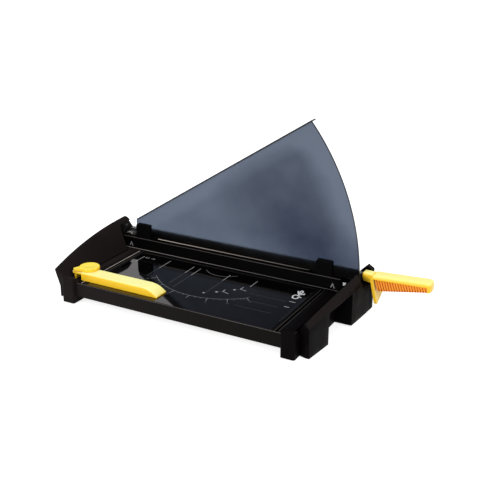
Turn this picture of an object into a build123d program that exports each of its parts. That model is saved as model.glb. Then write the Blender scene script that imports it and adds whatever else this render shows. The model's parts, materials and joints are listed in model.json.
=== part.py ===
from build123d import *
from math import cos, pi, radians, sin, sqrt
import os

os.makedirs("parts", exist_ok=True)

# Lengths are in millimetres and angles in degrees.
# x runs along the blade towards the handle, y away from the user and z up.
# While modelling, x is 0 at the middle of the bed, y at the front of the feet and z on the table.
# A rise or a drop counts from the top of the bed, and an out, past or in from the end of the bed.

# Fits
slide_fit = 0.05
seat_fit = 0.05
loose_fit = 0.3

# Bed
bed_width = 336
bed_top = 32
bed_front = 8
plate_thick = 2
deck_thick = 2
apron_drop = 21.5
apron_thick = 2
apron_return = 12
apron_ledge = 6
beam_depth = 8
beam_drop = 20
brace_width = 12
brace_drop = 17
brace_spread = 78
fixed_blade_thick = 4
fixed_blade_drop = 19
fixed_blade_in = 2
fixed_screw_drop = 12
fixed_screw_in = 28
fixed_screw_count = 5

# Slotted tracks at both sides of the bed
track_width = 18
track_base = 3
track_web_height = 7
track_web = 6
track_flange = 10
slot_inset = 10
slot_width = 5
tee_width = 9
tee_height = 5
tee_lip = 3

# End caps; the cutting plane lies a set way ahead of their backs
cap_depth = 202
cut_ahead = 24
cap_base = 1.5
foot_width = 21
rim_rise = 8
rim_round = 3
shelf_width = 17
wing_out_front = 34
wing_out_back = 50.5
wing_rise_front = 11.5
wing_rise_back = 22
wing_power = 1.5
wing_stations = 9
left_crest_out = 34
left_crest_rise_front = 16
left_crest_rise_back = 47
left_crest_power = 2.4
right_crest_out_front = 24
right_crest_out_back = 42
right_crest_rise_front = 13.5
right_crest_rise_back = 36
prow_base = 13.6
prow_drop = 14
prow_tip = 3
prow_tip_rise = 16
nose_out = 12.5
nose_in = 17.5
left_peak_ahead = 21
left_back_rise = 18
left_peak_round = 13
recess_front = 63
recess_ahead = 72.5
recess_out = 22
recess_skin = 3.2
recess_roof = 1.2
pocket_ahead = 20
pocket_out = 37
pocket_rise = 38
pocket_room = 0.2
fin_keep_out = 34.2
fin_keep_ahead = 18
fin_keep_rise = 19
notch_ahead = 18
notch_rise = 14
marker_gap = 1.5
marker_width = 15.5
marker_depth = 9.5
post_fin_thick = 8
post_fin_out = 32
post_fin_rise = 26
post_fin_edge_rise = 30.5
groove_out = 11
groove_width = 5
groove_depth = 4
groove_front = 12
groove_ahead = 46
cavity_wall = 3
cavity_width = 15
cavity_roof = 3
cavity_front = 20
cavity_ahead = 52
boss_radius = 4
boss_inset = 6
floor_thick = 2
foot_radius = 7
foot_height = 4
foot_edge = 0.8
foot_front = 12
foot_ahead = 15
foot_out = 10.5
cap_screw_inset = 22
cap_screw_count = 3

# Pivot of the arm
pivot_out = 24
pivot_rise = 16
bolt_radius = 3
bolt_head_rim = 2.6
bolt_spare = 0.8
hex_across = 10
nut_thick = 4
washer_radius = 6
washer_thick = 1
spacer_radius = 6.5
spacer_length = 3
spring_height = 1.8
spring_thick = 0.9
cheek_thick = 3
bracket_half = 6.5
bracket_floor = 3
bracket_side_rise = 34
bracket_side_thick = 2
bracket_screw_gap = 0.8
bracket_screw_drop = 14
side_screw_inset = 5.8
side_screw_rise = 29.5
side_screw_reach = 7

# Arm and blade
blade_gap = 0.2
blade_thick = 2
blade_lap = 6.5
blade_start = 7
blade_heel_in = 4
blade_heel_drop = 7
blade_belly_drop = 12.5
blade_tip_drop = 9
blade_tail = 0.5
arm_height = 12
arm_thick = 8
arm_past = 38
ear_radius = 9.5
bush_wall = 2
tang_step = 2
tang_height = 7
tang_length = 80
tang_inset = 3.6
cover_in = 2
cover_short = 6
cover_skin = 1.6
cover_back_skin = 3
cover_lap = 1.5
cover_edge = 1
cover_back_edge = 2
arm_screw_in = 28
arm_screw_count = 6
arm_screw_up = 3
arm_screw_short = 2
cover_screw_start = 36
cover_screw_end = 30
cover_screw_count = 4
cover_screw_up = 8.5
bumper_past = 23
bumper_length = 12
bumper_width = 6
bumper_height = 1.5
bumper_edge = 1.2

# Handle; its heights count from the underside of the arm
handle_width = 24
handle_length = 99
collar_gap = 3
collar_length = 11.5
collar_lap = 4
collar_width = 14.5
collar_height = 15.3
collar_round = 3
collar_edge = 1.4
collar_face_left = 11.4
collar_face_right = 8
collar_under = 4.6
grip_gap = 3.5
grip_up_left = 12.9
grip_up_right = 17.3
grip_round = 4.5
grip_end_round = 8
part_up_left = 7.3
part_up_right = 11.2
under_gap = 7
under_down_left = 10.5
under_up_right = 2.5
under_slant = 3
under_round = 3
end_wall = 5
rib_count = 19
rib_depth = 1.8
rib_share = 0.55
rib_lean = 18
rib_side = 0.8
fence_up = 9.5
fence_down = 31.5
fence_depth = 40
fence_back_down = 18.5
fence_thick = 4.5
fence_corner = 3
fence_round = 2
fence_edge = 1.2
fence_lean = 12
handle_screw_inset = 17.5
handle_screw_first = 16
handle_screw_last = 17
handle_screw_sink = 4
handle_screw_bite = 3.5

# Clamp with the guard
clamp_ahead = 17.5
clamp_gap = 0.6
clamp_out_left = 29
clamp_out_right = 15
clamp_lift = 1.5
clamp_low_rise = 2.2
clamp_rise = 19.5
clamp_foot = 3
clamp_lean = 3.5
clamp_edge = 1.2
strip_inset = 0.7
strip_width = 5
strip_sink = 1
strip_in = 6
ridge_inset = 7.4
ridge_height = 3
ridge_in_left = 30
ridge_in_right = 34
guard_inset = 9.5
guard_thick = 2
guard_sink = 5
guard_out_left = 5
guard_rise_left = 49
guard_slope = 32.7
guard_length = 356
guard_low_rise = 20.5
guard_out_right = 40
guard_bulge = 20.2
guard_bend = 1.8
flange_depth = 12
clip_gap = 1.5
clip_in = 26
clip_width = 26
clip_depth = 4.6
clip_height = 23.5
clip_round = 5
clip_edge = 1
clip_skin = 1.2
clip_plate_thick = 2
clip_plate_inset = 1
clip_screw_up = 11.5
clip_screw_half = 8
clip_screw_height = 1.3
post_out = 8
post_inset = 7.5
post_radius = 2
post_roof = 4
post_depth = 10
post_collar = 3.6
post_collar_height = 1.2
spring_radius = 3
spring_wire = 0.4
spring_turns = 4
spring_head = 3.5

# Paper stop
stop_front = 19
stop_depth = 25
stop_in = 1
stop_length = 133
stop_rise = 11.5
stop_nose = 24
stop_lift = 0.4
stop_round = 2
hook_gap = 0.8
hook_inset = 3
tab_past = 3.3
tab_inset = 2
tab_depth = 15
tab_thick = 2.5
tab_drop = 1
tab_round = 5
tab_lap = 4
knob_radius = 15.3
knob_gap = 0.3
knob_height = 4.4
knob_round = 1.4
knob_back = 8
cam_out = 8.3
cam_back = 2.5
knob_dish = 0.8
knob_dish_radius = 60
knob_grips = 12
knob_grip_radius = 2
knob_grip_out = 1.1
knob_skirt = 1.4
lever_angle = 228
lever_length = 19.4
lever_tip = 4.2
lever_root = 12
lever_height = 3.4
screw_cap = 2

# Screws
small_screw_radius = 1.5
small_screw_head = 3
small_screw_height = 1.8
floor_screw_length = 14.5
cap_screw_radius = 2
cap_screw_head = 3.6
cap_screw_height = 2.4
cap_screw_reach = 6

# Places that follow from these sizes
cap_face = bed_width / 2
cut_y = cap_depth - cut_ahead
blade_front = cut_y + blade_gap
arm_front = blade_front + blade_thick
arm_back = arm_front + arm_thick
deck_low = bed_top - plate_thick - deck_thick
bed_back = cut_y - fixed_blade_thick
beam_front = bed_back - beam_depth
apron_back = bed_front + apron_thick
apron_low = bed_top - apron_drop
slot_x = cap_face - slot_inset
tee_low = bed_top - tee_lip - tee_height
track_floor = tee_low - track_base
track_low = track_floor - track_web_height
cap_screw_z = track_floor - track_web_height / 2
recess_back = cap_depth - recess_ahead
notch_floor = bed_top + notch_rise
notch_front = cut_y - notch_ahead
notch_back = cap_depth - post_fin_thick
cavity_back = cap_depth - cavity_ahead
cavity_top = bed_top - groove_depth - cavity_roof
floor_screw_tip = cap_base + floor_screw_length
pivot_x = -cap_face - pivot_out
pivot_z = bed_top + pivot_rise
bolt_head = bolt_radius + bolt_head_rim
bush_radius = bolt_radius + bush_wall
bracket_front = arm_front - spacer_length - cheek_thick
bracket_back = arm_back + spring_height + cheek_thick
bracket_middle = (bracket_front + bracket_back) / 2
bracket_screw_half = cap_screw_head + bracket_screw_gap / 2
bracket_screw_tip = bed_top - bracket_screw_drop
nut_front = bracket_back + washer_thick
bolt_end = nut_front + nut_thick + bolt_spare
pocket_back = bolt_end + pocket_room
fin_x = -cap_face - fin_keep_out
fin_front = cap_depth - fin_keep_ahead
fin_low = bed_top + fin_keep_rise
side_x = -cap_face - pocket_out
side_screw_y = bracket_front + side_screw_inset
side_screw_z = bed_top + side_screw_rise
arm_low = notch_floor + bumper_height
arm_top = arm_low + arm_height
arm_right = cap_face + arm_past
blade_left = pivot_x + blade_start
blade_top = arm_low + blade_lap
tang_low = arm_low + tang_step
tang_top = tang_low + tang_height
tang_right = arm_right + tang_length
cover_left = -cap_face + cover_in
cover_right = arm_right - cover_short
handle_front = cut_y
handle_back = handle_front + handle_width
collar_left = arm_right + collar_gap
handle_right = collar_left + handle_length
fence_x = collar_left + collar_length
grip_left = fence_x + grip_gap
under_start = grip_left + under_gap
under_end = handle_right - end_wall
clamp_front = cut_y - clamp_ahead
clamp_back = bracket_front - clamp_gap
clamp_low = bed_top + clamp_low_rise
clamp_top = bed_top + clamp_rise
clamp_left = -cap_face - clamp_out_left
clamp_right = cap_face + clamp_out_right
guard_front = clamp_front + guard_inset
guard_back = guard_front + guard_thick
guard_left = -cap_face - guard_out_left
guard_right = cap_face + guard_out_right
guard_low = bed_top + guard_low_rise
guard_left_top = bed_top + guard_rise_left
post_x = cap_face + post_out
post_y = clamp_front + post_inset
post_top = clamp_top - post_roof
spring_ceiling = post_top - spring_head
stop_back = stop_front + stop_depth
stop_low = bed_top + stop_lift
stop_top = bed_top + stop_rise
stop_left = -cap_face + stop_in
stop_right = stop_left + stop_length
hook_left = -cap_face - groove_out - groove_width + hook_gap
hook_right = -cap_face - groove_out - hook_gap
tab_left = hook_left - tab_past
knob_x = -slot_x
knob_y = stop_back - knob_back
knob_low = stop_top + knob_gap
knob_top = knob_low + knob_height
lever_top = knob_low + lever_height
cam_x = knob_x - cam_out
cam_y = knob_y + cam_back


def box(x0, x1, y0, y1, z0, z1):
    """A block between two corners."""
    return Pos((x0 + x1) / 2, (y0 + y1) / 2, (z0 + z1) / 2) * Box(x1 - x0, y1 - y0, z1 - z0)


def rod(axis, u, v, radius, start, end):
    """A round bar along one axis; u and v are its place on the other two axes, in order."""
    middle = (start + end) / 2
    if axis == "x":
        place = Pos(middle, u, v) * Rot(0, 90, 0)
    elif axis == "y":
        place = Pos(u, middle, v) * Rot(90, 0, 0)
    else:
        place = Pos(u, v, middle)
    return place * Cylinder(radius, abs(end - start))


def prism_x(points, x0, x1):
    """An outline given as (y, z) points, drawn out along x."""
    return Pos(x0, 0, 0) * extrude(Plane.YZ * Polygon(*points, align=None), x1 - x0, dir=(1, 0, 0))


def prism_y(points, y0, y1):
    """An outline given as (x, z) points, drawn out along y."""
    return Pos(0, y0, 0) * extrude(Plane.XZ * Polygon(*points, align=None), y1 - y0, dir=(0, 1, 0))


def hex_bar(x, z, across, y0, y1):
    """A hexagonal bar along y."""
    outline = Plane.XZ * Pos(x, z) * RegularPolygon(across / 2, 6, major_radius=False)
    return Pos(0, y0, 0) * extrude(outline, y1 - y0, dir=(0, 1, 0))


def group(shapes):
    """Several separate solids in one node."""
    return Compound([solid for shape in shapes for solid in shape.solids()])


def pan_screw(axis, u, v, seat, tip, shank, head, height):
    """A screw whose rounded head stands on its seat, with a round drive recess."""
    way = 1 if seat > tip else -1
    cap = rod(axis, u, v, head, seat, seat + way * height)
    at = {"x": 0, "y": 1, "z": 2}[axis]
    rims = sorted(cap.edges().filter_by(GeomType.CIRCLE), key=lambda edge: way * tuple(edge.center())[at])
    cap = fillet(rims[-1], height * 0.4)
    drive = rod(axis, u, v, head * 0.45, seat + way * height * 0.4, seat + way * height * 1.1)
    return cap - drive + rod(axis, u, v, shank, seat, tip)


def sunk_cone(axis, u, v, face, way, wide, narrow):
    """The cone of a sunk head, its wide end on the face; way is the direction the head looks."""
    depth = wide - narrow
    middle = face - way * depth / 2
    big_first = Cone(wide, narrow, depth)
    small_first = Cone(narrow, wide, depth)
    if axis == "y":
        return Pos(u, middle, v) * Rot(90, 0, 0) * (big_first if way > 0 else small_first)
    return Pos(u, v, middle) * (small_first if way > 0 else big_first)


def sunk_screw(axis, u, v, face, tip, shank, head):
    """A screw whose head lies flush in its countersink."""
    way = 1 if face > tip else -1
    depth = head - shank
    body = sunk_cone(axis, u, v, face, way, head, shank) + rod(axis, u, v, shank, face - way * depth / 2, tip)
    return body - rod(axis, u, v, head * 0.4, face - way * depth * 0.7, face + way)


def sunk_hole(axis, u, v, face, tip, shank, head):
    """The countersunk hole for such a screw."""
    way = 1 if face > tip else -1
    room = shank + seat_fit
    cone = sunk_cone(axis, u, v, face, way, head + seat_fit, room)
    return cone + rod(axis, u, v, room, face, tip - way * loose_fit)


def spread(start, end, count):
    """Evenly spaced places from start to end."""
    return [start + (end - start) * index / (count - 1) for index in range(count)]


def ease(t, power):
    """Rises fast at the front and levels off at the back."""
    return 1 - (1 - t) ** power


def between(front, back, t, power):
    return front + (back - front) * ease(t, power)


def on_line(x, x0, z0, x1, z1):
    """Height at x of the straight line through two points."""
    return z0 + (z1 - z0) * (x - x0) / (x1 - x0)


def wing_values(side, y):
    """Outer face, its top edge, and the crest's place and height, at one distance from the front."""
    t = y / cap_depth
    outer = cap_face + between(wing_out_front, wing_out_back, t, wing_power)
    edge = bed_top + between(wing_rise_front, wing_rise_back, t, wing_power)
    if side < 0:
        crest_x = cap_face + left_crest_out
        crest_z = bed_top + between(left_crest_rise_front, left_crest_rise_back, t, left_crest_power)
    else:
        crest_x = cap_face + between(right_crest_out_front, right_crest_out_back, t, wing_power)
        crest_z = bed_top + between(right_crest_rise_front, right_crest_rise_back, t, wing_power)
    return outer, edge, crest_x, crest_z


beyond = cap_face + wing_out_back + foot_width
above = 2 * (bed_top + left_crest_rise_back)
below = -cap_base - foot_height


def wing(side):
    """The tall outer part of an end cap, with its prow and hand recess."""
    inner = cap_face + shelf_width
    sections = []
    for y in spread(0, cap_depth, wing_stations):
        outer, edge, crest_x, crest_z = wing_values(side, y)
        outline = [(inner, cap_base), (inner, bed_top), (crest_x, crest_z), (outer, edge), (outer, cap_base)]
        outline = [(side * x, z) for x, z in outline]
        sections.append(Pos(0, y, 0) * (Plane.XZ * Polygon(*outline, align=None)))
    shape = loft(sections)
    x0, x1 = sorted((side * cap_face, side * beyond))
    prow = [(below, below), (prow_base, below), (prow_base, bed_top - prow_drop)]
    prow = prow + [(prow_tip, bed_top + prow_tip_rise), (prow_tip, above), (below, above)]
    shape = shape - prism_x(prow, x0, x1)
    if side < 0:
        peak_y = cap_depth - left_peak_ahead
        peak_z = bed_top + left_crest_rise_back
        slope = (left_crest_rise_back - left_back_rise) / left_peak_ahead
        back = [(below, below), (below, peak_z), (peak_y, peak_z), (peak_y + (peak_z - below) / slope, below)]
        mask = Plane.YZ * Polygon(*back, align=None)
        peak = [vertex for vertex in mask.vertices() if abs(vertex.Y - peak_y) < slide_fit]
        mask = fillet(peak, left_peak_round)
        shape = shape & (Pos(x0, 0, 0) * extrude(mask, x1 - x0, dir=(1, 0, 0)))
    else:
        outer = cap_face + wing_out_front
        nose = [(cap_face, below), (beyond, below)]
        nose = nose + [(x, on_line(x, inner, nose_in, outer, nose_out)) for x in (beyond, cap_face)]
        shape = shape - Pos(0, 0, below) * extrude(Polygon(*nose, align=None), above - below, dir=(0, 0, 1))
    ends = []
    for y in (recess_front, recess_back):
        outer, edge, crest_x, crest_z = wing_values(side, y)
        lean = (crest_x - inner) / (crest_z - bed_top)
        wall = cap_face + recess_out
        roof = edge - recess_roof
        knee = bed_top + (wall - recess_skin - inner) / lean
        roof_x = inner + (roof - bed_top) * lean + recess_skin
        outline = [(wall, below), (wall, knee), (roof_x, roof), (beyond, roof), (beyond, below)]
        outline = [(side * x, z) for x, z in outline]
        ends.append(Pos(0, y, 0) * (Plane.XZ * Polygon(*outline, align=None)))
    return shape - loft(ends, ruled=True)


foot_places = (foot_front, cap_depth - foot_ahead)
boss_places = (cavity_front + boss_inset, cavity_back - boss_inset)
cap_screw_places = spread(cavity_front + cap_screw_inset, cavity_back - cap_screw_inset, cap_screw_count)
bracket_screw_places = (pivot_x - bracket_screw_half, pivot_x + bracket_screw_half)


def end_cap(side):
    """One end moulding: foot with a raised front rim, level shelf, wing and underside cavity."""
    x0, x1 = sorted((side * cap_face, side * (cap_face + foot_width)))
    rim_top = bed_top + rim_rise
    body = box(x0, x1, 0, cap_depth, cap_base, bed_top) + box(x0, x1, 0, bed_front, cap_base, rim_top)
    fronts = [edge for edge in body.edges().filter_by(Axis.Z) if edge.center().Y < slide_fit]
    body = fillet(fronts, rim_round)
    tops = [edge for edge in body.edges() if edge.center().Z > rim_top - slide_fit]
    body = fillet([edge for edge in tops if edge.center().Y < bed_front - slide_fit], rim_round / 2)
    cap = body + wing(side)
    x0, x1 = sorted((side * (cap_face + cavity_wall), side * (cap_face + cavity_wall + cavity_width)))
    cavity = box(x0, x1, cavity_front, cavity_back, cap_base - 1, cavity_top)
    middle = side * (cap_face + foot_out)
    for y in boss_places:
        cavity = cavity - rod("z", middle, y, boss_radius, cap_base + floor_thick, cavity_top)
        cap = cap - rod("z", middle, y, small_screw_radius + seat_fit, cap_base, floor_screw_tip + loose_fit)
    cap = cap - cavity
    for y in foot_places:
        cap = cap - rod("z", middle, y, foot_radius + seat_fit, cap_base - 1, foot_height)
    for y in cap_screw_places:
        edge = sorted((side * (cap_face - 1), side * (cap_face + cavity_wall + 1)))
        cap = cap - rod("x", y, cap_screw_z, cap_screw_radius + seat_fit, edge[0], edge[1])
    post_low = bed_top - post_depth - loose_fit
    cap = cap - rod("z", side * post_x, post_y, post_radius + seat_fit, post_low, bed_top + 1)
    x0, x1 = sorted((side * (cap_face + groove_out), side * (cap_face + groove_out + groove_width)))
    cap = cap - box(x0, x1, groove_front, cap_depth - groove_ahead, bed_top - groove_depth, bed_top + 1)
    room = cap_screw_radius + seat_fit
    if side < 0:
        pocket_front = cut_y - pocket_ahead
        pocket = box(side_x, -cap_face - 1, pocket_front, pocket_back, bed_top, bed_top + pocket_rise)
        cap = cap - (pocket - box(side_x, fin_x, fin_front, cap_depth, fin_low, bed_top + pocket_rise))
        for x in bracket_screw_places:
            cap = cap - rod("z", x, bracket_middle, room, bracket_screw_tip - loose_fit, bed_top + 1)
        reach = side_x - side_screw_reach - loose_fit
        cap = cap - rod("x", side_screw_y, side_screw_z, room, reach, side_x + 1)
    else:
        cap = cap - box(cap_face + 1, beyond, notch_front, notch_back, notch_floor, above)
        x0 = clamp_right + marker_gap
        marker_back = notch_front + marker_depth
        cap = cap + box(x0, x0 + marker_width, notch_front - 1, marker_back, bed_top - 1, notch_floor)
        outer = cap_face + wing_out_back
        fin = [(cap_face + recess_out, cap_base), (cap_face + post_fin_out, bed_top + post_fin_rise)]
        fin = fin + [(cap_face + right_crest_out_back, bed_top + right_crest_rise_back)]
        fin = fin + [(outer, bed_top + post_fin_edge_rise), (outer, cap_base)]
        cap = cap + prism_y(fin, notch_back, cap_depth)
        cap = cap + box(cap_face, cap_face + post_fin_out, notch_back, cap_depth, bed_top - 1, notch_floor)
    return cap


nodes = {}

# End caps and what closes and carries them
nodes["left_end_cap"] = end_cap(-1)
nodes["right_end_cap"] = end_cap(1)
floor_screws = []
cap_screws = []
feet = []
for side, name in ((-1, "left_cap_floor"), (1, "right_cap_floor")):
    middle = side * (cap_face + foot_out)
    x0, x1 = sorted((side * (cap_face + cavity_wall), side * (cap_face + cavity_wall + cavity_width)))
    plate = box(x0 + slide_fit, x1 - slide_fit, cavity_front + slide_fit, cavity_back - slide_fit, cap_base,
                cap_base + floor_thick)
    for y in boss_places:
        plate = plate - sunk_hole(
            "z", middle, y, cap_base, floor_screw_tip, small_screw_radius, small_screw_head)
        floor_screws.append(
            sunk_screw("z", middle, y, cap_base, floor_screw_tip, small_screw_radius, small_screw_head))
    nodes[name] = plate
    for y in cap_screw_places:
        seat = side * (cap_face + cavity_wall)
        tip = side * (cap_face - cap_screw_reach)
        cap_screws.append(
            pan_screw("x", y, cap_screw_z, seat, tip, cap_screw_radius, cap_screw_head, cap_screw_height))
    for y in foot_places:
        foot = rod("z", middle, y, foot_radius, 0, foot_height)
        low = [edge for edge in foot.edges().filter_by(GeomType.CIRCLE) if edge.center().Z < slide_fit]
        feet.append(chamfer(low, foot_edge))
nodes["floor_screws"] = group(floor_screws)
nodes["cap_screws"] = group(cap_screws)
nodes["rubber_feet"] = group(feet)

# Bed
apron = [(bed_front, apron_low), (bed_front, bed_top), (apron_back, bed_top)]
apron = apron + [(apron_back, apron_low + apron_thick)]
apron = apron + [(apron_back + apron_return, apron_low + apron_thick), (apron_back + apron_return, apron_low)]
ledge_half = cap_face - track_width - track_flange - apron_thick
front_apron = prism_x(apron, -cap_face, cap_face)
ledge_front = bed_front + apron_thick / 2
ledge_back = apron_back + apron_ledge
nodes["front_apron"] = front_apron + box(
    -ledge_half, ledge_half, ledge_front, ledge_back, deck_low - deck_thick, deck_low)
bed_half = cap_face - track_width
nodes["bed_deck"] = box(-bed_half, bed_half, apron_back, bed_back, deck_low, deck_low + deck_thick)
nodes["bed_plate"] = box(-bed_half, bed_half, apron_back, bed_back, bed_top - plate_thick, bed_top)
beam = box(-cap_face, cap_face, beam_front, bed_back, bed_top - beam_drop, deck_low)
blade_half = cap_face - fixed_blade_in
fixed_blade = box(-blade_half, blade_half, bed_back, cut_y, bed_top - fixed_blade_drop, bed_top)
fixed_screws = []
fixed_screw_z = bed_top - fixed_screw_drop
for x in spread(-cap_face + fixed_screw_in, cap_face - fixed_screw_in, fixed_screw_count):
    beam = beam - rod("y", x, fixed_screw_z, cap_screw_radius + seat_fit, beam_front - 1, bed_back + 1)
    fixed_blade = fixed_blade - sunk_hole(
        "y", x, fixed_screw_z, cut_y, beam_front, cap_screw_radius, cap_screw_head)
    fixed_screws.append(
        sunk_screw("y", x, fixed_screw_z, cut_y, beam_front + 1, cap_screw_radius, cap_screw_head))
nodes["rear_beam"] = beam
nodes["fixed_blade"] = fixed_blade
nodes["fixed_blade_screws"] = group(fixed_screws)
braces = []
brace_low = bed_top - brace_drop
for x in (-brace_spread, 0, brace_spread):
    half = brace_width / 2
    brace = box(x - half, x + half, apron_back + apron_return, beam_front, brace_low, deck_low)
    hollow = half - deck_thick
    trough = box(x - hollow, x + hollow, apron_back, beam_front + 1, brace_low - 1, deck_low - deck_thick)
    braces.append(brace - trough)
nodes["bed_braces"] = group(braces)


def track(side):
    """One slotted strip, with a lip under the deck and a web against the end cap."""
    inner = cap_face - track_width
    half = slot_width / 2
    tee = tee_width / 2
    lip = bed_top - tee_lip
    flange_low = deck_low - deck_thick
    outline = [(inner, bed_top), (slot_x - half, bed_top), (slot_x - half, lip), (slot_x - tee, lip)]
    outline += [(slot_x - tee, tee_low), (slot_x + tee, tee_low), (slot_x + tee, lip), (slot_x + half, lip)]
    outline += [(slot_x + half, bed_top), (cap_face, bed_top), (cap_face, track_low)]
    outline += [(cap_face - track_web, track_low), (cap_face - track_web, track_floor), (inner, track_floor)]
    outline += [(inner, flange_low), (inner - track_flange, flange_low), (inner - track_flange, deck_low)]
    outline += [(inner, deck_low)]
    outline = [(side * x, z) for x, z in outline]
    strip = prism_y(outline, apron_back, beam_front)
    for y in cap_screw_places:
        edge = sorted((side * (cap_face - cap_screw_reach - loose_fit), side * (cap_face + 1)))
        strip = strip - rod("x", y, cap_screw_z, cap_screw_radius + seat_fit, edge[0], edge[1])
    return strip


nodes["left_track"] = track(-1)
nodes["right_track"] = track(1)

# Pivot of the arm
cheek = [(pivot_x - bracket_half, bed_top), (pivot_x + bracket_half, bed_top)]
cheek += [(pivot_x + bracket_half, pivot_z), (pivot_x - bracket_half, pivot_z)]
side_top = bed_top + bracket_side_rise
bracket = box(side_x, pivot_x + bracket_half, bracket_front, bracket_back, bed_top, bed_top + bracket_floor)
bracket = bracket + box(side_x, side_x + bracket_side_thick, bracket_front, bracket_back, bed_top, side_top)
step_front = fin_front - loose_fit
bracket = bracket - box(side_x, pivot_x, step_front, bracket_back, fin_low - loose_fit, side_top)
for y0, y1 in ((bracket_front, bracket_front + cheek_thick), (bracket_back - cheek_thick, bracket_back)):
    bracket = bracket + prism_y(cheek, y0, y1) + rod("y", pivot_x, pivot_z, bracket_half, y0, y1)
bore = rod("y", pivot_x, pivot_z, bolt_radius + slide_fit, bracket_front - 1, bolt_end + 1)
bracket = bracket - bore
sink_end = bracket_front + cheek_thick
bracket = bracket - sunk_hole("y", pivot_x, pivot_z, bracket_front, sink_end, bolt_radius, bolt_head)
bracket_screws = []
for x in bracket_screw_places:
    seat = bed_top + bracket_floor
    bracket = bracket - rod("z", x, bracket_middle, cap_screw_radius + seat_fit, bed_top - 1, seat + 1)
    bracket_screws.append(pan_screw(
        "z", x, bracket_middle, seat, bracket_screw_tip, cap_screw_radius, cap_screw_head, cap_screw_height))
seat = side_x + bracket_side_thick
tip = side_x - side_screw_reach
bracket = bracket - rod("x", side_screw_y, side_screw_z, cap_screw_radius + seat_fit, side_x - 1, seat + 1)
bracket_screws.append(
    pan_screw("x", side_screw_y, side_screw_z, seat, tip, cap_screw_radius, cap_screw_head, cap_screw_height))
nodes["pivot_bracket"] = bracket
nodes["bracket_screws"] = group(bracket_screws)
nodes["pivot_bolt"] = sunk_screw("y", pivot_x, pivot_z, bracket_front, bolt_end, bolt_radius, bolt_head)
nodes["pivot_washer"] = rod("y", pivot_x, pivot_z, washer_radius, bracket_back, nut_front) - bore
spacer_front = bracket_front + cheek_thick
nodes["pivot_spacer"] = rod("y", pivot_x, pivot_z, spacer_radius, spacer_front, arm_front - slide_fit) - bore
spring_back = bracket_back - cheek_thick
spring_room = spring_height - slide_fit
dish = [(bolt_radius + slide_fit, 0), (bolt_radius + slide_fit, spring_thick), (spacer_radius, spring_room)]
dish = dish + [(spacer_radius, spring_room - spring_thick)]
dish = revolve(Plane.XZ * Polygon(*dish, align=None), Axis.Z)
nodes["spring_washer"] = Pos(pivot_x, spring_back, pivot_z) * Rot(90, 0, 0) * dish
nodes["pivot_nut"] = hex_bar(pivot_x, pivot_z, hex_across, nut_front, nut_front + nut_thick) - bore

# Arm
arm = box(pivot_x, arm_right, arm_front, arm_back, arm_low, arm_top)
arm = arm + rod("y", pivot_x, pivot_z, ear_radius, arm_front, arm_back)
arm = arm + box(arm_right - 1, tang_right, arm_front + tang_inset, arm_back, tang_low, tang_top)
arm = arm - rod("y", pivot_x, pivot_z, bush_radius + seat_fit, arm_front - 1, arm_back + 1)
nodes["pivot_bush"] = rod("y", pivot_x, pivot_z, bush_radius, arm_front, arm_back) - bore

tail = (blade_left, arm_low - blade_tail)
heel = (-cap_face + blade_heel_in, bed_top - blade_heel_drop)
tip = (cap_face, bed_top - blade_tip_drop)
blade_outline = [
    Line(tail, (blade_left, blade_top)),
    Line((blade_left, blade_top), (cap_face, blade_top)),
    Line((cap_face, blade_top), tip),
    ThreePointArc(tip, (0, bed_top - blade_belly_drop), heel),
    Line(heel, (heel[0], tail[1])),
    Line((heel[0], tail[1]), tail),
]
blade = Pos(0, blade_front, 0) * extrude(Plane.XZ * make_face(blade_outline), blade_thick, dir=(0, 1, 0))
blade_screws = []
for x in spread(-cap_face + arm_screw_in, cap_face - arm_screw_in, arm_screw_count):
    z = arm_low + arm_screw_up
    end = arm_back - arm_screw_short
    hole = sunk_hole("y", x, z, blade_front, end, small_screw_radius, small_screw_head)
    blade = blade - hole
    arm = arm - hole
    blade_screws.append(sunk_screw("y", x, z, blade_front, end, small_screw_radius, small_screw_head))
nodes["moving_blade"] = blade
nodes["blade_screws"] = group(blade_screws)

cover_top = arm_top + seat_fit + cover_skin
cover_back = arm_back + seat_fit + cover_back_skin
cover_low = arm_low - cover_lap
cover = [(blade_front, blade_top + seat_fit), (blade_front, cover_top - cover_edge)]
cover += [(blade_front + cover_edge, cover_top), (cover_back - cover_back_edge, cover_top)]
cover += [(cover_back, cover_top - cover_back_edge), (cover_back, cover_low)]
cover += [(arm_back + seat_fit, cover_low)]
cover += [(arm_back + seat_fit, arm_top + seat_fit), (arm_front - seat_fit, arm_top + seat_fit)]
cover += [(arm_front - seat_fit, blade_top + seat_fit)]
cover = prism_x(cover, cover_left, cover_right)
cover_screws = []
for x in spread(cover_left + cover_screw_start, cover_right - cover_screw_end, cover_screw_count):
    z = arm_low + cover_screw_up
    end = arm_front + arm_screw_short
    hole = rod("y", x, z, small_screw_radius + seat_fit, end - loose_fit, cover_back + 1)
    cover = cover - hole
    arm = arm - hole
    cover_screws.append(
        pan_screw("y", x, z, cover_back, end, small_screw_radius, small_screw_head, small_screw_height))
nodes["arm_bar"] = arm
nodes["arm_cover"] = cover
nodes["cover_screws"] = group(cover_screws)
x0 = cap_face + bumper_past
y0 = (arm_front + arm_back - bumper_width) / 2
bumper = box(x0, x0 + bumper_length, y0, y0 + bumper_width, notch_floor, arm_low)
nodes["arm_bumper"] = chamfer(bumper.edges().filter_by(Axis.Z), bumper_edge)

# Handle: a shell with collar, end wall and finger fence, and a ribbed grip set in from below
grip_top_left = arm_low + grip_up_left
grip_top_right = arm_low + grip_up_right
part_left = arm_low + part_up_left
part_right = arm_low + part_up_right
under_left = arm_low - under_down_left
under_right = arm_low + under_up_right


def part_z(x):
    """Height of the parting line between shell and grip."""
    return on_line(x, grip_left, part_left, handle_right, part_right)


def under_z(x):
    """Height of the underside of the grip."""
    return on_line(x, under_start, under_left, under_end, under_right)


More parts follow.
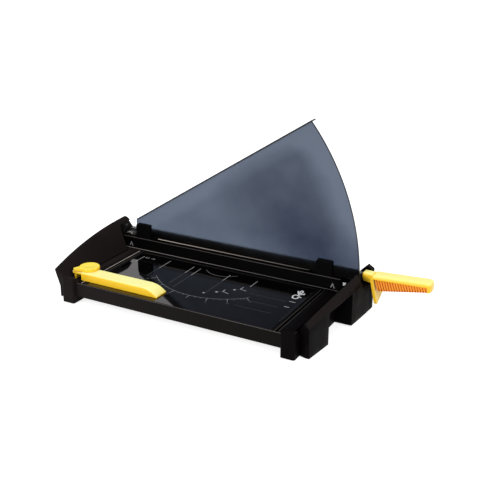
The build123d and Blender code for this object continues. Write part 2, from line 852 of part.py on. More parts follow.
shell_line = [(grip_left, part_left), (grip_left, grip_top_left), (handle_right, grip_top_right)]
shell_line += [(handle_right, under_z(handle_right)), (under_end, under_right)]
shell_line += [(under_end, part_z(under_end))]
shell = prism_y(shell_line, handle_front, handle_back)
ends = [edge for edge in shell.edges().filter_by(Axis.Z) if edge.center().X > handle_right - slide_fit]
shell = fillet(ends, grip_end_round)
level = (grip_top_left + part_left) / 2
rims = [edge for edge in shell.edges() if edge.center().Z > level and edge.center().X > grip_left + 1]
tops = [edge for edge in rims if edge.center().Z > on_line(edge.center().X, grip_left, level, handle_right,
                                                          grip_top_right - grip_round)]
shell = fillet(tops, grip_round)
fence_top = arm_low + fence_up
collar = box(collar_left, fence_x + collar_lap, handle_front, handle_front + collar_width, arm_low,
             arm_low + collar_height)
collar = fillet(collar.edges().filter_by(Axis.X), collar_round)
collar = chamfer(collar.faces().sort_by(Axis.X)[0].edges(), collar_edge)
face_left = Vector(collar_left, handle_front, arm_low + collar_face_left)
face_right = Vector(fence_x, handle_front, arm_low + collar_face_right)
under_line = Vector(fence_x, handle_front + collar_under, arm_low)
along = face_left - face_right
out = (under_line - face_right).cross(along)
if out.Y > 0:
    out = out * -1
slope = Plane(origin=face_right, x_dir=along, z_dir=out)
collar = collar - slope * Pos(0, 0, handle_width / 2) * Box(handle_length, handle_length, handle_width)
fence_low = arm_low - fence_down
fence_back = handle_front + fence_depth
fence_back_z = arm_low - fence_back_down
fence_line = [(handle_front, fence_top), (handle_front, fence_low + fence_corner)]
fence_line += [(handle_front + fence_corner, fence_low)]
fence_line += [(fence_back - fence_corner, fence_back_z - fence_corner / 3)]
fence_line += [(fence_back, fence_back_z + fence_corner)]
fence_line += [(handle_back + fence_corner, fence_top - 2 * fence_corner)]
fence_line += [(handle_back - fence_corner, fence_top)]
fence = prism_x(fence_line, 0, fence_thick)
fence = fillet(fence.edges().filter_by(Axis.X), fence_round)
fence = fillet(fence.faces().sort_by(Axis.X)[-1].edges(), fence_edge)
fence = Pos(fence_x, 0, fence_top) * Rot(0, -fence_lean, 0) * Pos(0, 0, -fence_top) * fence
shell = shell + collar + fence

slant_x = under_start - under_slant
stop_x = under_end - seat_fit
full_line = [(slant_x, part_z(slant_x) - seat_fit), (under_start, under_left), (stop_x, under_z(stop_x))]
full_line += [(stop_x, part_z(stop_x) - seat_fit)]
full = prism_y(full_line, handle_front + rib_side, handle_back - rib_side)
long_edges = full.edges().filter_by(lambda edge: edge.length > (under_end - under_start) * 0.8)
full = fillet(long_edges.sort_by(Axis.Z)[:2], under_round)
core_x = slant_x + rib_depth
core_line = [(core_x, part_z(core_x) - seat_fit), (under_start + rib_depth / 2, under_left + rib_depth)]
core_line += [(stop_x, under_z(stop_x) + rib_depth), (stop_x, part_z(stop_x) - seat_fit)]
core = prism_y(core_line, handle_front + rib_side + rib_depth, handle_back - rib_side - rib_depth)
long_edges = core.edges().filter_by(lambda edge: edge.length > (under_end - under_start) * 0.8)
core = fillet(long_edges.sort_by(Axis.Z)[:2], under_round - seat_fit)
pitch = (under_end - under_start) / rib_count
half = pitch * rib_share / 2
grip = core
for index in range(rib_count):
    x = under_start + pitch * (index + 0.5) - under_slant / 2
    slab = box(-half, half, handle_front, handle_back, -collar_height, collar_height)
    slab = Pos(x, 0, (part_z(x) + under_z(x)) / 2) * Rot(0, -rib_lean, 0) * slab
    grip = grip + (full & slab)
tang_room = box(arm_right, tang_right + seat_fit, arm_front + tang_inset - seat_fit, arm_back + seat_fit,
                tang_low - seat_fit, tang_top + seat_fit)
shell = shell - tang_room
grip = grip - tang_room
handle_screws = []
screw_y = handle_front + handle_screw_inset
for x in (under_start + handle_screw_first, under_end - handle_screw_last):
    seat = under_z(x) + handle_screw_sink
    tip = part_z(x) + handle_screw_bite
    room = small_screw_radius + seat_fit
    grip = grip - rod("z", x, screw_y, small_screw_head + seat_fit, under_z(x) - handle_screw_sink, seat)
    grip = grip - rod("z", x, screw_y, room, seat - 1, tip)
    shell = shell - rod("z", x, screw_y, room, seat, tip + loose_fit)
    handle_screws.append(
        pan_screw("z", x, screw_y, seat, tip, small_screw_radius, small_screw_head, small_screw_height))
nodes["handle_shell"] = shell
nodes["handle_grip"] = grip
nodes["handle_screws"] = group(handle_screws)

# Clamp bar with the guard
bar = [(clamp_front, clamp_low), (clamp_front, clamp_low + clamp_foot)]
bar += [(clamp_front + clamp_lean, clamp_top - clamp_edge)]
bar += [(clamp_front + clamp_lean + clamp_edge, clamp_top)]
bar += [(clamp_back, clamp_top), (clamp_back, clamp_low)]
bar = prism_x(bar, clamp_left, clamp_right)
ridge_left = -cap_face + ridge_in_left
ridge_right = cap_face - ridge_in_right
bar = bar + box(ridge_left, ridge_right, clamp_front + ridge_inset, guard_front - seat_fit, clamp_top - 1,
                clamp_top + ridge_height)
groove_bottom = clamp_top - guard_sink
bar = bar - box(guard_left - loose_fit, cap_face, guard_front - seat_fit, guard_back + seat_fit,
                groove_bottom, clamp_top + ridge_height + 1)
strip_half = cap_face - strip_in
strip_front = clamp_front + strip_inset
strip_back = strip_front + strip_width
strip_top = clamp_low + strip_sink
bar = bar - box(-strip_half, strip_half, strip_front, strip_back, clamp_low - 1, strip_top)
nodes["clamp_pad"] = box(-strip_half, strip_half, strip_front, strip_back, bed_top + clamp_lift, strip_top)
posts = []
springs = []
collar_z = bed_top + post_collar_height
spring_low = collar_z + spring_wire
spring_rise = spring_ceiling - spring_wire - spring_low
for x in (-post_x, post_x):
    bar = bar - rod("z", x, post_y, spring_radius + spring_wire + loose_fit, clamp_low - 1, spring_ceiling)
    bar = bar - rod("z", x, post_y, post_radius + slide_fit, clamp_low, post_top + loose_fit)
    post = rod("z", x, post_y, post_radius, bed_top - post_depth, post_top - clamp_lift - loose_fit)
    posts.append(post + rod("z", x, post_y, post_collar, bed_top, collar_z))
    wire_path = Helix(spring_rise / spring_turns, spring_rise, spring_radius)
    wire = sweep(Plane(wire_path @ 0, z_dir=wire_path % 0) * Circle(spring_wire), path=wire_path)
    springs.append(Pos(x, post_y, spring_low) * wire)
nodes["clamp_bar"] = bar
nodes["clamp_posts"] = group(posts)
nodes["clamp_springs"] = group(springs)
print("gap between the turns of a clamp spring", round(spring_rise / spring_turns - 2 * spring_wire, 3))

tip_x = guard_left + guard_length * cos(radians(guard_slope))
tip_z = guard_left_top + guard_length * sin(radians(guard_slope))
chord = sqrt((guard_right - tip_x) ** 2 + (guard_low - tip_z) ** 2)
bulge_x = (tip_x + guard_right) / 2 + guard_bulge * (tip_z - guard_low) / chord
bulge_z = (tip_z + guard_low) / 2 + guard_bulge * (guard_right - tip_x) / chord
sole_z = groove_bottom + seat_fit
sole_right = cap_face - seat_fit
guard_line = [
    Line((guard_left, sole_z), (guard_left, guard_left_top)),
    Line((guard_left, guard_left_top), (tip_x, tip_z)),
    ThreePointArc((tip_x, tip_z), (bulge_x, bulge_z), (guard_right, guard_low)),
    Line((guard_right, guard_low), (sole_right, guard_low)),
    Line((sole_right, guard_low), (sole_right, sole_z)),
    Line((sole_right, sole_z), (guard_left, sole_z)),
]
guard = Pos(0, guard_front, 0) * extrude(Plane.XZ * make_face(guard_line), guard_thick, dir=(0, 1, 0))
edge_place = Pos(guard_left, 0, guard_left_top) * Rot(0, -guard_slope, 0)
flange = box(0, guard_length, guard_front, guard_back + flange_depth, -guard_thick, 0)
bend = [edge for edge in flange.edges().filter_by(Axis.X) if edge.center().Z > -slide_fit]
flange = fillet([edge for edge in bend if edge.center().Y < guard_back], guard_bend)
corner = box(-guard_length, guard_length * 2, guard_front - 1, guard_front + guard_bend, -guard_bend,
             guard_thick)
corner = corner - rod("x", guard_front + guard_bend, -guard_bend, guard_bend, -guard_length, guard_length * 2)
guard = guard - edge_place * corner + edge_place * flange
clip_screws = []
clip_plates = []
clip_top = clamp_top + clip_height
clip_front = guard_front - clip_depth
clip_back = guard_back + seat_fit + clip_plate_thick
clip_screw_z = clamp_top + clip_screw_up
for name, x0 in (("guard_clip_left", guard_left + clip_gap), ("guard_clip_right", cap_face - clip_in)):
    x1 = x0 + clip_width
    clip = box(x0, x1, clip_front, guard_front - seat_fit, clamp_top, clip_top)
    tops = [edge for edge in clip.edges().filter_by(Axis.Y) if edge.center().Z > clip_top - 1]
    clip = fillet(tops, clip_round)
    rims = clip.faces().sort_by(Axis.Y)[0].edges()
    clip = fillet([edge for edge in rims if edge.center().Z > clamp_top + 1], clip_edge)
    plate = box(x0 + clip_plate_inset, x1 - clip_plate_inset, guard_back + seat_fit, clip_back,
                clamp_top + clip_plate_inset, clip_top - clip_plate_inset)
    for x in ((x0 + x1) / 2 - clip_screw_half, (x0 + x1) / 2 + clip_screw_half):
        hole = rod("y", x, clip_screw_z, small_screw_radius + seat_fit, clip_front + clip_skin, clip_back + 1)
        clip = clip - hole
        plate = plate - hole
        guard = guard - hole
        tip = clip_front + clip_skin + loose_fit
        clip_screws.append(pan_screw(
            "y", x, clip_screw_z, clip_back, tip, small_screw_radius, small_screw_head, clip_screw_height))
    nodes[name] = clip
    clip_plates.append(plate)
nodes["blade_guard"] = guard
nodes["clip_plates"] = group(clip_plates)
nodes["clip_screws"] = group(clip_screws)

# Paper stop
nose_start = stop_right - stop_nose
nose_mid = (stop_right - stop_nose * 0.5, stop_top - (stop_top - stop_low) * 0.2)
nose_low = stop_low + stop_round * 0.75
stop_line = [
    Line((stop_left, stop_low), (stop_left, stop_top)),
    Line((stop_left, stop_top), (nose_start, stop_top)),
    ThreePointArc((nose_start, stop_top), nose_mid, (stop_right, nose_low)),
    Line((stop_right, nose_low), (stop_right, stop_low)),
    Line((stop_right, stop_low), (stop_left, stop_low)),
]
stop = Pos(0, stop_front, 0) * extrude(Plane.XZ * make_face(stop_line), stop_depth, dir=(0, 1, 0))
ridges = stop.edges().filter_by(Axis.Y, reverse=True)
ridges = ridges.filter_by(lambda edge: edge.length > stop_nose * 0.9 and edge.center().Z > nose_low)
stop = fillet(ridges, stop_round)
tab_front = stop_front + tab_inset
tab_back = tab_front + tab_depth
tab_top = stop_top - tab_drop
tab = box(tab_left, stop_left + tab_lap, tab_front, tab_back, tab_top - tab_thick, tab_top)
tab = fillet([edge for edge in tab.edges().filter_by(Axis.Z) if edge.center().X < tab_left + 1], tab_round)
hook_low = bed_top - groove_depth + loose_fit
hook_top = tab_top - tab_thick / 2
hook = box(hook_left, hook_right, tab_front + hook_inset, tab_back - hook_inset, hook_low, hook_top)
stop = stop + tab + hook
tee_radius = tee_width / 2 - loose_fit
neck = slot_width / 2 - loose_fit
stop = stop - rod("z", knob_x, knob_y, neck + slide_fit, stop_low - 1, stop_top + 1)
nodes["stop_bar"] = stop
knob = rod("z", cam_x, cam_y, knob_radius, knob_low, knob_top)
rims = knob.edges().filter_by(GeomType.CIRCLE).sort_by(Axis.Z)
knob = fillet(rims[-1], knob_round)
for index in range(knob_grips):
    turn = 2 * pi * index / knob_grips
    out = knob_radius + knob_grip_out
    knob = knob - rod("z", cam_x + out * cos(turn), cam_y + out * sin(turn), knob_grip_radius,
                      knob_low + knob_skirt, knob_top + 1)
knob = knob - Pos(cam_x, cam_y, knob_top + knob_dish_radius - knob_dish) * Sphere(knob_dish_radius)
turn = radians(lever_angle)
lever_ends = []
for reach, half in ((0, lever_root), (lever_length, lever_tip)):
    middle = (cam_x + reach * cos(turn), cam_y + reach * sin(turn))
    for way in (-1, 1):
        lever_ends.append((middle[0] - way * half * sin(turn), middle[1] + way * half * cos(turn)))
lever = [lever_ends[0], lever_ends[1], lever_ends[3], lever_ends[2]]
lever = Pos(0, 0, knob_low) * extrude(Polygon(*lever, align=None), lever_height, dir=(0, 0, 1))
knob = knob + lever + rod("z", middle[0], middle[1], lever_tip, knob_low, lever_top)
screw_top = knob_top - screw_cap
knob = knob - rod("z", knob_x, knob_y, neck + seat_fit, knob_low - 1, screw_top)
nodes["stop_knob"] = knob
nodes["stop_screw"] = rod("z", knob_x, knob_y, neck, tee_low + loose_fit, screw_top) + rod(
    "z", knob_x, knob_y, tee_radius, tee_low + loose_fit, bed_top - tee_lip - loose_fit)

# The origin goes to the middle of the underside of the whole box
whole = Compound([solid for shape in nodes.values() for solid in shape.solids()]).bounding_box()
origin = ((whole.min.X + whole.max.X) / 2, (whole.min.Y + whole.max.Y) / 2, whole.min.Z)
shift = Pos(-origin[0], -origin[1], -origin[2])
for name, shape in nodes.items():
    export_step(shift * shape, "parts/" + name + ".step")
print("origin of the frame in modelling coordinates", origin)
print("size", whole.size)
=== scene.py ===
import json
import math

import bmesh
import bpy
from mathutils import Matrix, Vector


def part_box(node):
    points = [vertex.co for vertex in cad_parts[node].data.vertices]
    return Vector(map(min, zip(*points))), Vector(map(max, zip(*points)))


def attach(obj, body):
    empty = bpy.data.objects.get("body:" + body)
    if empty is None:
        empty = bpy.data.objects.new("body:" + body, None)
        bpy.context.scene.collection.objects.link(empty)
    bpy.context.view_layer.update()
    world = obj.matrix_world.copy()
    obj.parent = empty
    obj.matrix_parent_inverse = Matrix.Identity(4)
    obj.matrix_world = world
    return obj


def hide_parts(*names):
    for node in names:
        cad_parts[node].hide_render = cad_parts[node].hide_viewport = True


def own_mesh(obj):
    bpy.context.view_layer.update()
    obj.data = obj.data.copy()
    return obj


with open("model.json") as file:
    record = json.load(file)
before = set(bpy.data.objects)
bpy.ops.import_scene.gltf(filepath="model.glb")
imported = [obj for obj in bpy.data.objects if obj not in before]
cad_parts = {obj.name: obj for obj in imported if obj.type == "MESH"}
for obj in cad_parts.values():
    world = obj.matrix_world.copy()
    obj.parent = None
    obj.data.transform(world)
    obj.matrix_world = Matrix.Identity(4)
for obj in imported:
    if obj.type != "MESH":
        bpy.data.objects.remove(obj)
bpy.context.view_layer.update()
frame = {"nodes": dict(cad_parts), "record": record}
nodes = frame["nodes"]
scene = bpy.context.scene

MM = 0.001

# The drawing's zero: the middle of the bed in x, 178 mm ahead of the blade line in y, the table in z
plate_low, plate_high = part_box("bed_plate")
MIDDLE_X = (plate_low.x + plate_high.x) / 2
CUT_LINE_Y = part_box("fixed_blade")[1].y
CUT_Y = 178.0
BED_TOP = plate_high.z / MM


def at(x, y, z):
    """A point given in millimetres on the drawing, in the row frame."""
    return Vector((MIDDLE_X + x * MM, CUT_LINE_Y + (y - CUT_Y) * MM, z * MM))


# Materials

# Noise stays near its middle, so a finish uses this part of its range
NOISE_RANGE = (0.3, 0.7)
# Scales of the noise, per metre, for the patches, the uneven gloss and the grain of a moulding
PATCH = 14
GLOSS_PER_PATCH = 3
GRAIN = 900
# The same scales for grips and trim, and those of single finishes
SOFT_PATCH = 30
SOFT_GLOSS = 60
SOFT_GRAIN = 700
PAINT_PATCH = 20
INK_PATCH = 60
RUBBER_GRAIN = 600
METAL_GLOSS = 40
SHEET_CLOUD = 24
SHEET_GLOSS = 22
SHEET_WAVE = 10
# Scale of the lines on ground metal, and how they are stretched along x, y and z
LINES = 9
LONG_LINES = (6, 400, 400)
PLATE_LINES = (6, 60, 400)
TURNED_LINES = (60, 60, 60)

# The guard on the drawing: its top left corner and slope, its round edge, and the painted shade along its
# foot, where dark parts stand behind it
GUARD_CORNER = (-173, CUT_Y, 81)
GUARD_SLOPE = 32.7
GUARD_CENTRE = (-144.6, CUT_Y, 47.9)
GUARD_RADIUS = 352.7
GUARD_FOOT_SHADE = (52, 62)
FOOT_SHADE_WEIGHT = 0.95
# Its black lines along the top and the round edge: where they begin and are full, in mm from the edge
TOP_LINE = (2.4, 1.6)
SIDE_LINE = (1.4, 0.8)
# Its painted reflections: a long dark heart that leans down to the right, and a paler margin along three
# edges
REFLECTION_HEART = (154, CUT_Y, 75)
REFLECTION_HEART_LEAN = 44
REFLECTION_HEART_STRETCH = 0.3
REFLECTION_HEART_REACH = (6, 105)
REFLECTION_HEART_WEIGHT = 0.53
REFLECTION_MARGIN_SIDE = (46, 6)
REFLECTION_MARGIN_RISE = (60, 136)
SIDE_WEIGHT = 0.5
REFLECTION_MARGIN_TOP = (31, 4)
TOP_WEIGHT = 0.44
REFLECTION_MARGIN_FOOT = (98, 64)
LOW_WEIGHT = 0.18
CLOUD_WEIGHT = 0.45
SHEET_TONES = (0.2, 1.0)
# How far a face of the guard looks forwards or back: a cut edge up to the first, the sheet from the second
CUT_FACING = (0.5, 0.9)

# A moulding with painted light by facing: the share of its patches
PATCH_WEIGHT = 0.1

# The grip's painted shade between its ribs: how far a rib's face looks sideways, the weights of its crests
# and patches, and their range
CREST_FACING = (0.15, 0.6)
CREST_WEIGHT = 0.62
GRIP_PATCH_WEIGHT = 0.3
GRIP_TONES = (0.15, 0.7)

# Painted light that falls off from left to right: where it starts and ends along the cutter, its weights
# and their range
FALLOFF_ENDS = (-150, 130)
FALLOFF_WEIGHT = 0.8
FALLOFF_PATCH_WEIGHT = 0.2
FALLOFF_TONES = (0.1, 0.9)

# Where the pivot bracket's side plate ends, and half the width over which its paint ends
SIDE_PLATE_EDGE = -201.5
SIDE_PLATE_BLUR = 0.4


def srgb(r, g, b):
    """An sRGB colour of 0 to 255 as a linear colour."""
    out = []
    for value in (r, g, b):
        value = value / 255
        out.append(value / 12.92 if value <= 0.04045 else ((value + 0.055) / 1.055) ** 2.4)
    return (*out, 1.0)


class Finish:
    """A procedural material: tones mixed by noise, uneven gloss and a bump."""

    def __init__(self, name):
        self.material = bpy.data.materials.new(name)
        self.material.use_nodes = True
        self.tree = self.material.node_tree
        self.shader = self.tree.nodes["Principled BSDF"]
        self.coords = self.tree.nodes.new("ShaderNodeTexCoord")

    def add(self, kind):
        return self.tree.nodes.new(kind)

    def link(self, a, b):
        self.tree.links.new(a, b)

    def noise(self, scale, detail=3.0, stretch=None):
        node = self.add("ShaderNodeTexNoise")
        node.inputs["Scale"].default_value = scale
        node.inputs["Detail"].default_value = detail
        place = self.coords.outputs["Object"]
        if stretch is not None:
            mapping = self.add("ShaderNodeMapping")
            mapping.inputs["Scale"].default_value = stretch
            self.link(place, mapping.inputs["Vector"])
            place = mapping.outputs["Vector"]
        self.link(place, node.inputs["Vector"])
        return node.outputs["Fac"]

    def patches(self, scale):
        """Broad patches with a ragged outline."""
        return self.noise(scale, 4)

    def span(self, value, from_low, from_high, to_low, to_high):
        node = self.add("ShaderNodeMapRange")
        node.inputs["From Min"].default_value = from_low
        node.inputs["From Max"].default_value = from_high
        node.inputs["To Min"].default_value = to_low
        node.inputs["To Max"].default_value = to_high
        self.link(value, node.inputs["Value"])
        return node.outputs["Result"]

    def gloss(self, scale, rough):
        """Roughness that wanders between two values."""
        return self.span(self.noise(scale), *NOISE_RANGE, *rough)

    def math(self, operation, a, b):
        node = self.add("ShaderNodeMath")
        node.operation = operation
        for socket, value in zip(node.inputs, (a, b)):
            if isinstance(value, (int, float)):
                socket.default_value = value
            else:
                self.link(value, socket)
        return node.outputs[0]

    def scaled(self, value, weight):
        return self.math("MULTIPLY", value, weight)

    def size(self, value):
        """A value without its sign."""
        return self.math("ABSOLUTE", value, 0)

    def tones(self, value, dark, light, ends=NOISE_RANGE):
        """The dark colour up to the first end, the light one from the second."""
        ramp = self.add("ShaderNodeValToRGB")
        for element, end, colour in zip(ramp.color_ramp.elements, ends, (dark, light)):
            element.position = end
            element.color = colour
        self.link(value, ramp.inputs["Fac"])
        return ramp.outputs["Color"]

    def mix(self, factor, a, b):
        """Colour a where the factor is 0 and b where it is 1."""
        node = self.add("ShaderNodeMix")
        node.data_type = "RGBA"
        node.clamp_factor = True
        colours = [socket for socket in node.inputs if socket.type == "RGBA"]
        self.link(factor, node.inputs[0])
        for socket, value in zip(colours, (a, b)):
            if isinstance(value, tuple):
                socket.default_value = value
            else:
                self.link(value, socket)
        return [socket for socket in node.outputs if socket.type == "RGBA"][0]

    def axes(self, vector):
        node = self.add("ShaderNodeSeparateXYZ")
        self.link(vector, node.inputs[0])
        return node.outputs

    def place(self):
        """Where a point lies, along x, y and z."""
        return self.axes(self.coords.outputs["Object"])

    def normal(self):
        """How far a face looks along x, y and z."""
        return self.axes(self.coords.outputs["Normal"])

    def facing(self, way):
        """How far a face looks one way."""
        node = self.add("ShaderNodeVectorMath")
        node.operation = "DOT_PRODUCT"
        node.inputs[1].default_value = way
        self.link(self.coords.outputs["Normal"], node.inputs[0])
        return node.outputs["Value"]

    def bump(self, height, strength, depth):
        """Relief from a height, its depth in mm."""
        node = self.add("ShaderNodeBump")
        node.inputs["Strength"].default_value = strength
        node.inputs["Distance"].default_value = depth * MM
        self.link(height, node.inputs["Height"])
        self.link(node.outputs["Normal"], self.shader.inputs["Normal"])

    def grain(self, scale, strength, depth):
        """A fine even grain."""
        self.bump(self.noise(scale, 2), strength, depth)

    def use(self, colour, roughness, **values):
        self.link(colour, self.shader.inputs["Base Color"])
        self.link(roughness, self.shader.inputs["Roughness"])
        for key, value in values.items():
            self.shader.inputs[key.replace("_", " ")].default_value = value
        return self.material


def moulded(name, dark, light, rough, grain=GRAIN, depth=0.08, strength=0.25, patch=PATCH, **values):
    """A moulded or painted finish: patchy tone, uneven gloss and a fine grain."""
    finish = Finish(name)
    colour = finish.tones(finish.patches(patch), dark, light)
    finish.grain(grain, strength, depth)
    return finish.use(colour, finish.gloss(patch * GLOSS_PER_PATCH, rough), **values)


def brushed(name, dark, light, rough, along=LONG_LINES):
    """A ground metal finish with fine lines along one axis."""
    finish = Finish(name)
    lines = finish.noise(LINES, stretch=along)
    colour = finish.tones(lines, dark, light)
    finish.bump(lines, strength=0.12, depth=0.06)
    return finish.use(colour, finish.gloss(METAL_GLOSS, rough), Metallic=1.0)


def painted_light_by_facing(name, unlit_colour, painted_light_colour, way, ends, rough, **values):
    """Painted light on a moulding: paler on the faces that look one way, as if lit from there."""
    finish = Finish(name)
    tone = finish.math("ADD", finish.facing(way), finish.scaled(finish.patches(PATCH), PATCH_WEIGHT))
    colour = finish.tones(tone, unlit_colour, painted_light_colour, ends)
    finish.grain(GRAIN, strength=0.2, depth=0.06)
    return finish.use(colour, finish.gloss(PATCH * GLOSS_PER_PATCH, rough), **values)


def smoked(name, dark, painted_light_colour, black, rough, **values):
    """A smoked, slightly frosted clear sheet with painted reflections (a dark heart and pale margins),
    painted shade along its foot, and black cut edges.
    """
    finish = Finish(name)
    place = finish.place()

    def away_from(point):
        """How far to the right of a point of the drawing and how far above it a place lies."""
        centre = at(*point)
        return finish.math("SUBTRACT", place[0], centre.x), finish.math("SUBTRACT", place[2], centre.z)

    def combine(a, share_of_a, b, share_of_b):
        return finish.math("ADD", finish.scaled(a, share_of_a), finish.scaled(b, share_of_b))

    def length(a, b):
        square = finish.math("ADD", finish.math("MULTIPLY", a, a), finish.math("MULTIPLY", b, b))
        return finish.math("POWER", square, 0.5)

    def fade(value, ends, low, high):
        """low at the first of two ends in mm, high at the second."""
        return finish.span(value, ends[0] * MM, ends[1] * MM, low, high)

    # The dark heart of the painted reflections
    lean = math.radians(REFLECTION_HEART_LEAN)
    right, up = away_from(REFLECTION_HEART)
    lengthways = combine(right, REFLECTION_HEART_STRETCH * math.cos(lean), up, -REFLECTION_HEART_STRETCH * math.sin(lean))
    crossways = combine(right, math.sin(lean), up, math.cos(lean))
    reflection_heart = fade(length(lengthways, crossways), REFLECTION_HEART_REACH, 0.0, REFLECTION_HEART_WEIGHT)

    slope = math.radians(GUARD_SLOPE)
    right, up = away_from(GUARD_CORNER)
    from_top = combine(right, math.sin(slope), up, -math.cos(slope))
    from_side = finish.math("SUBTRACT", GUARD_RADIUS * MM, length(*away_from(GUARD_CENTRE)))
    # Paler margins of the painted reflections, along the round edge, the top and the foot
    side_painted_reflection = finish.math("MULTIPLY", fade(from_side, REFLECTION_MARGIN_SIDE, 0.0, SIDE_WEIGHT),
                              fade(place[2], REFLECTION_MARGIN_RISE, 0.0, 1.0))
    other_painted_reflections = finish.math("ADD", fade(from_top, REFLECTION_MARGIN_TOP, 0.0, TOP_WEIGHT),
                                fade(place[2], REFLECTION_MARGIN_FOOT, 0.0, LOW_WEIGHT))
    painted_reflection = finish.math("ADD", side_painted_reflection, other_painted_reflections)
    cloud = finish.scaled(finish.patches(SHEET_CLOUD), CLOUD_WEIGHT)
    tone = finish.math("ADD", finish.math("ADD", reflection_heart, painted_reflection), cloud)
    sheet = finish.tones(tone, dark, painted_light_colour, SHEET_TONES)

    top = fade(from_top, TOP_LINE, 0.0, 1.0)
    side = fade(from_side, SIDE_LINE, 0.0, 1.0)
    # Painted shade along the foot, where dark parts stand behind the sheet
    foot = fade(place[2], GUARD_FOOT_SHADE, FOOT_SHADE_WEIGHT, 0.0)
    cut = finish.span(finish.size(finish.normal()[1]), *CUT_FACING, 1.0, 0.0)
    # Black edges and lines, together with the painted shade of the foot
    rim = finish.math("MAXIMUM", finish.math("MAXIMUM", cut, foot), finish.math("MAXIMUM", top, side))
    colour = finish.mix(rim, sheet, black)
    finish.bump(finish.noise(SHEET_WAVE, 1), strength=0.06, depth=2.0)
    return finish.use(colour, finish.gloss(SHEET_GLOSS, rough), **values)


def ribbed(name, groove_shade, rib, rough, **values):
    """Soft grip material with painted shade: darker on the rib faces that look sideways, towards the
    hollows between its ribs.
    """
    finish = Finish(name)
    # Painted shade: rib faces that look sideways take the darker groove tone
    crest = finish.span(finish.size(finish.normal()[0]), *CREST_FACING, CREST_WEIGHT, 0.0)
    tone = finish.math("ADD", crest, finish.scaled(finish.patches(SOFT_PATCH), GRIP_PATCH_WEIGHT))
    colour = finish.tones(tone, groove_shade, rib, GRIP_TONES)
    finish.grain(SOFT_GRAIN, strength=0.25, depth=0.1)
    return finish.use(colour, finish.gloss(SOFT_GLOSS, rough), **values)


def painted_light_falloff(name, left, right, rough, **values):
    """A finish with painted light that grows darker from left to right."""
    finish = Finish(name)
    start, end = (at(x, 0, 0).x for x in FALLOFF_ENDS)
    run = finish.span(finish.place()[0], start, end, 0.0, FALLOFF_WEIGHT)
    tone = finish.math("ADD", run, finish.scaled(finish.noise(SOFT_PATCH), FALLOFF_PATCH_WEIGHT))
    colour = finish.tones(tone, left, right, FALLOFF_TONES)
    finish.grain(SOFT_GRAIN, strength=0.15, depth=0.05)
    return finish.use(colour, finish.gloss(SOFT_GLOSS, rough), **values)


def bracketed(name, zinc, paint, rough, **values):
    """Zinc plate on the cheeks, dark paint on the tall side plate at the far left."""
    finish = Finish(name)
    start = at(SIDE_PLATE_EDGE - SIDE_PLATE_BLUR, 0, 0).x
    end = at(SIDE_PLATE_EDGE + SIDE_PLATE_BLUR, 0, 0).x
    side = finish.span(finish.place()[0], start, end, 1.0, 0.0)
    lines = finish.noise(LINES, stretch=PLATE_LINES)
    painted = finish.tones(finish.patches(PAINT_PATCH), *paint)
    colour = finish.mix(side, finish.tones(lines, *zinc), painted)
    finish.bump(lines, strength=0.12, depth=0.06)
    return finish.use(colour, finish.gloss(METAL_GLOSS, rough), **values)


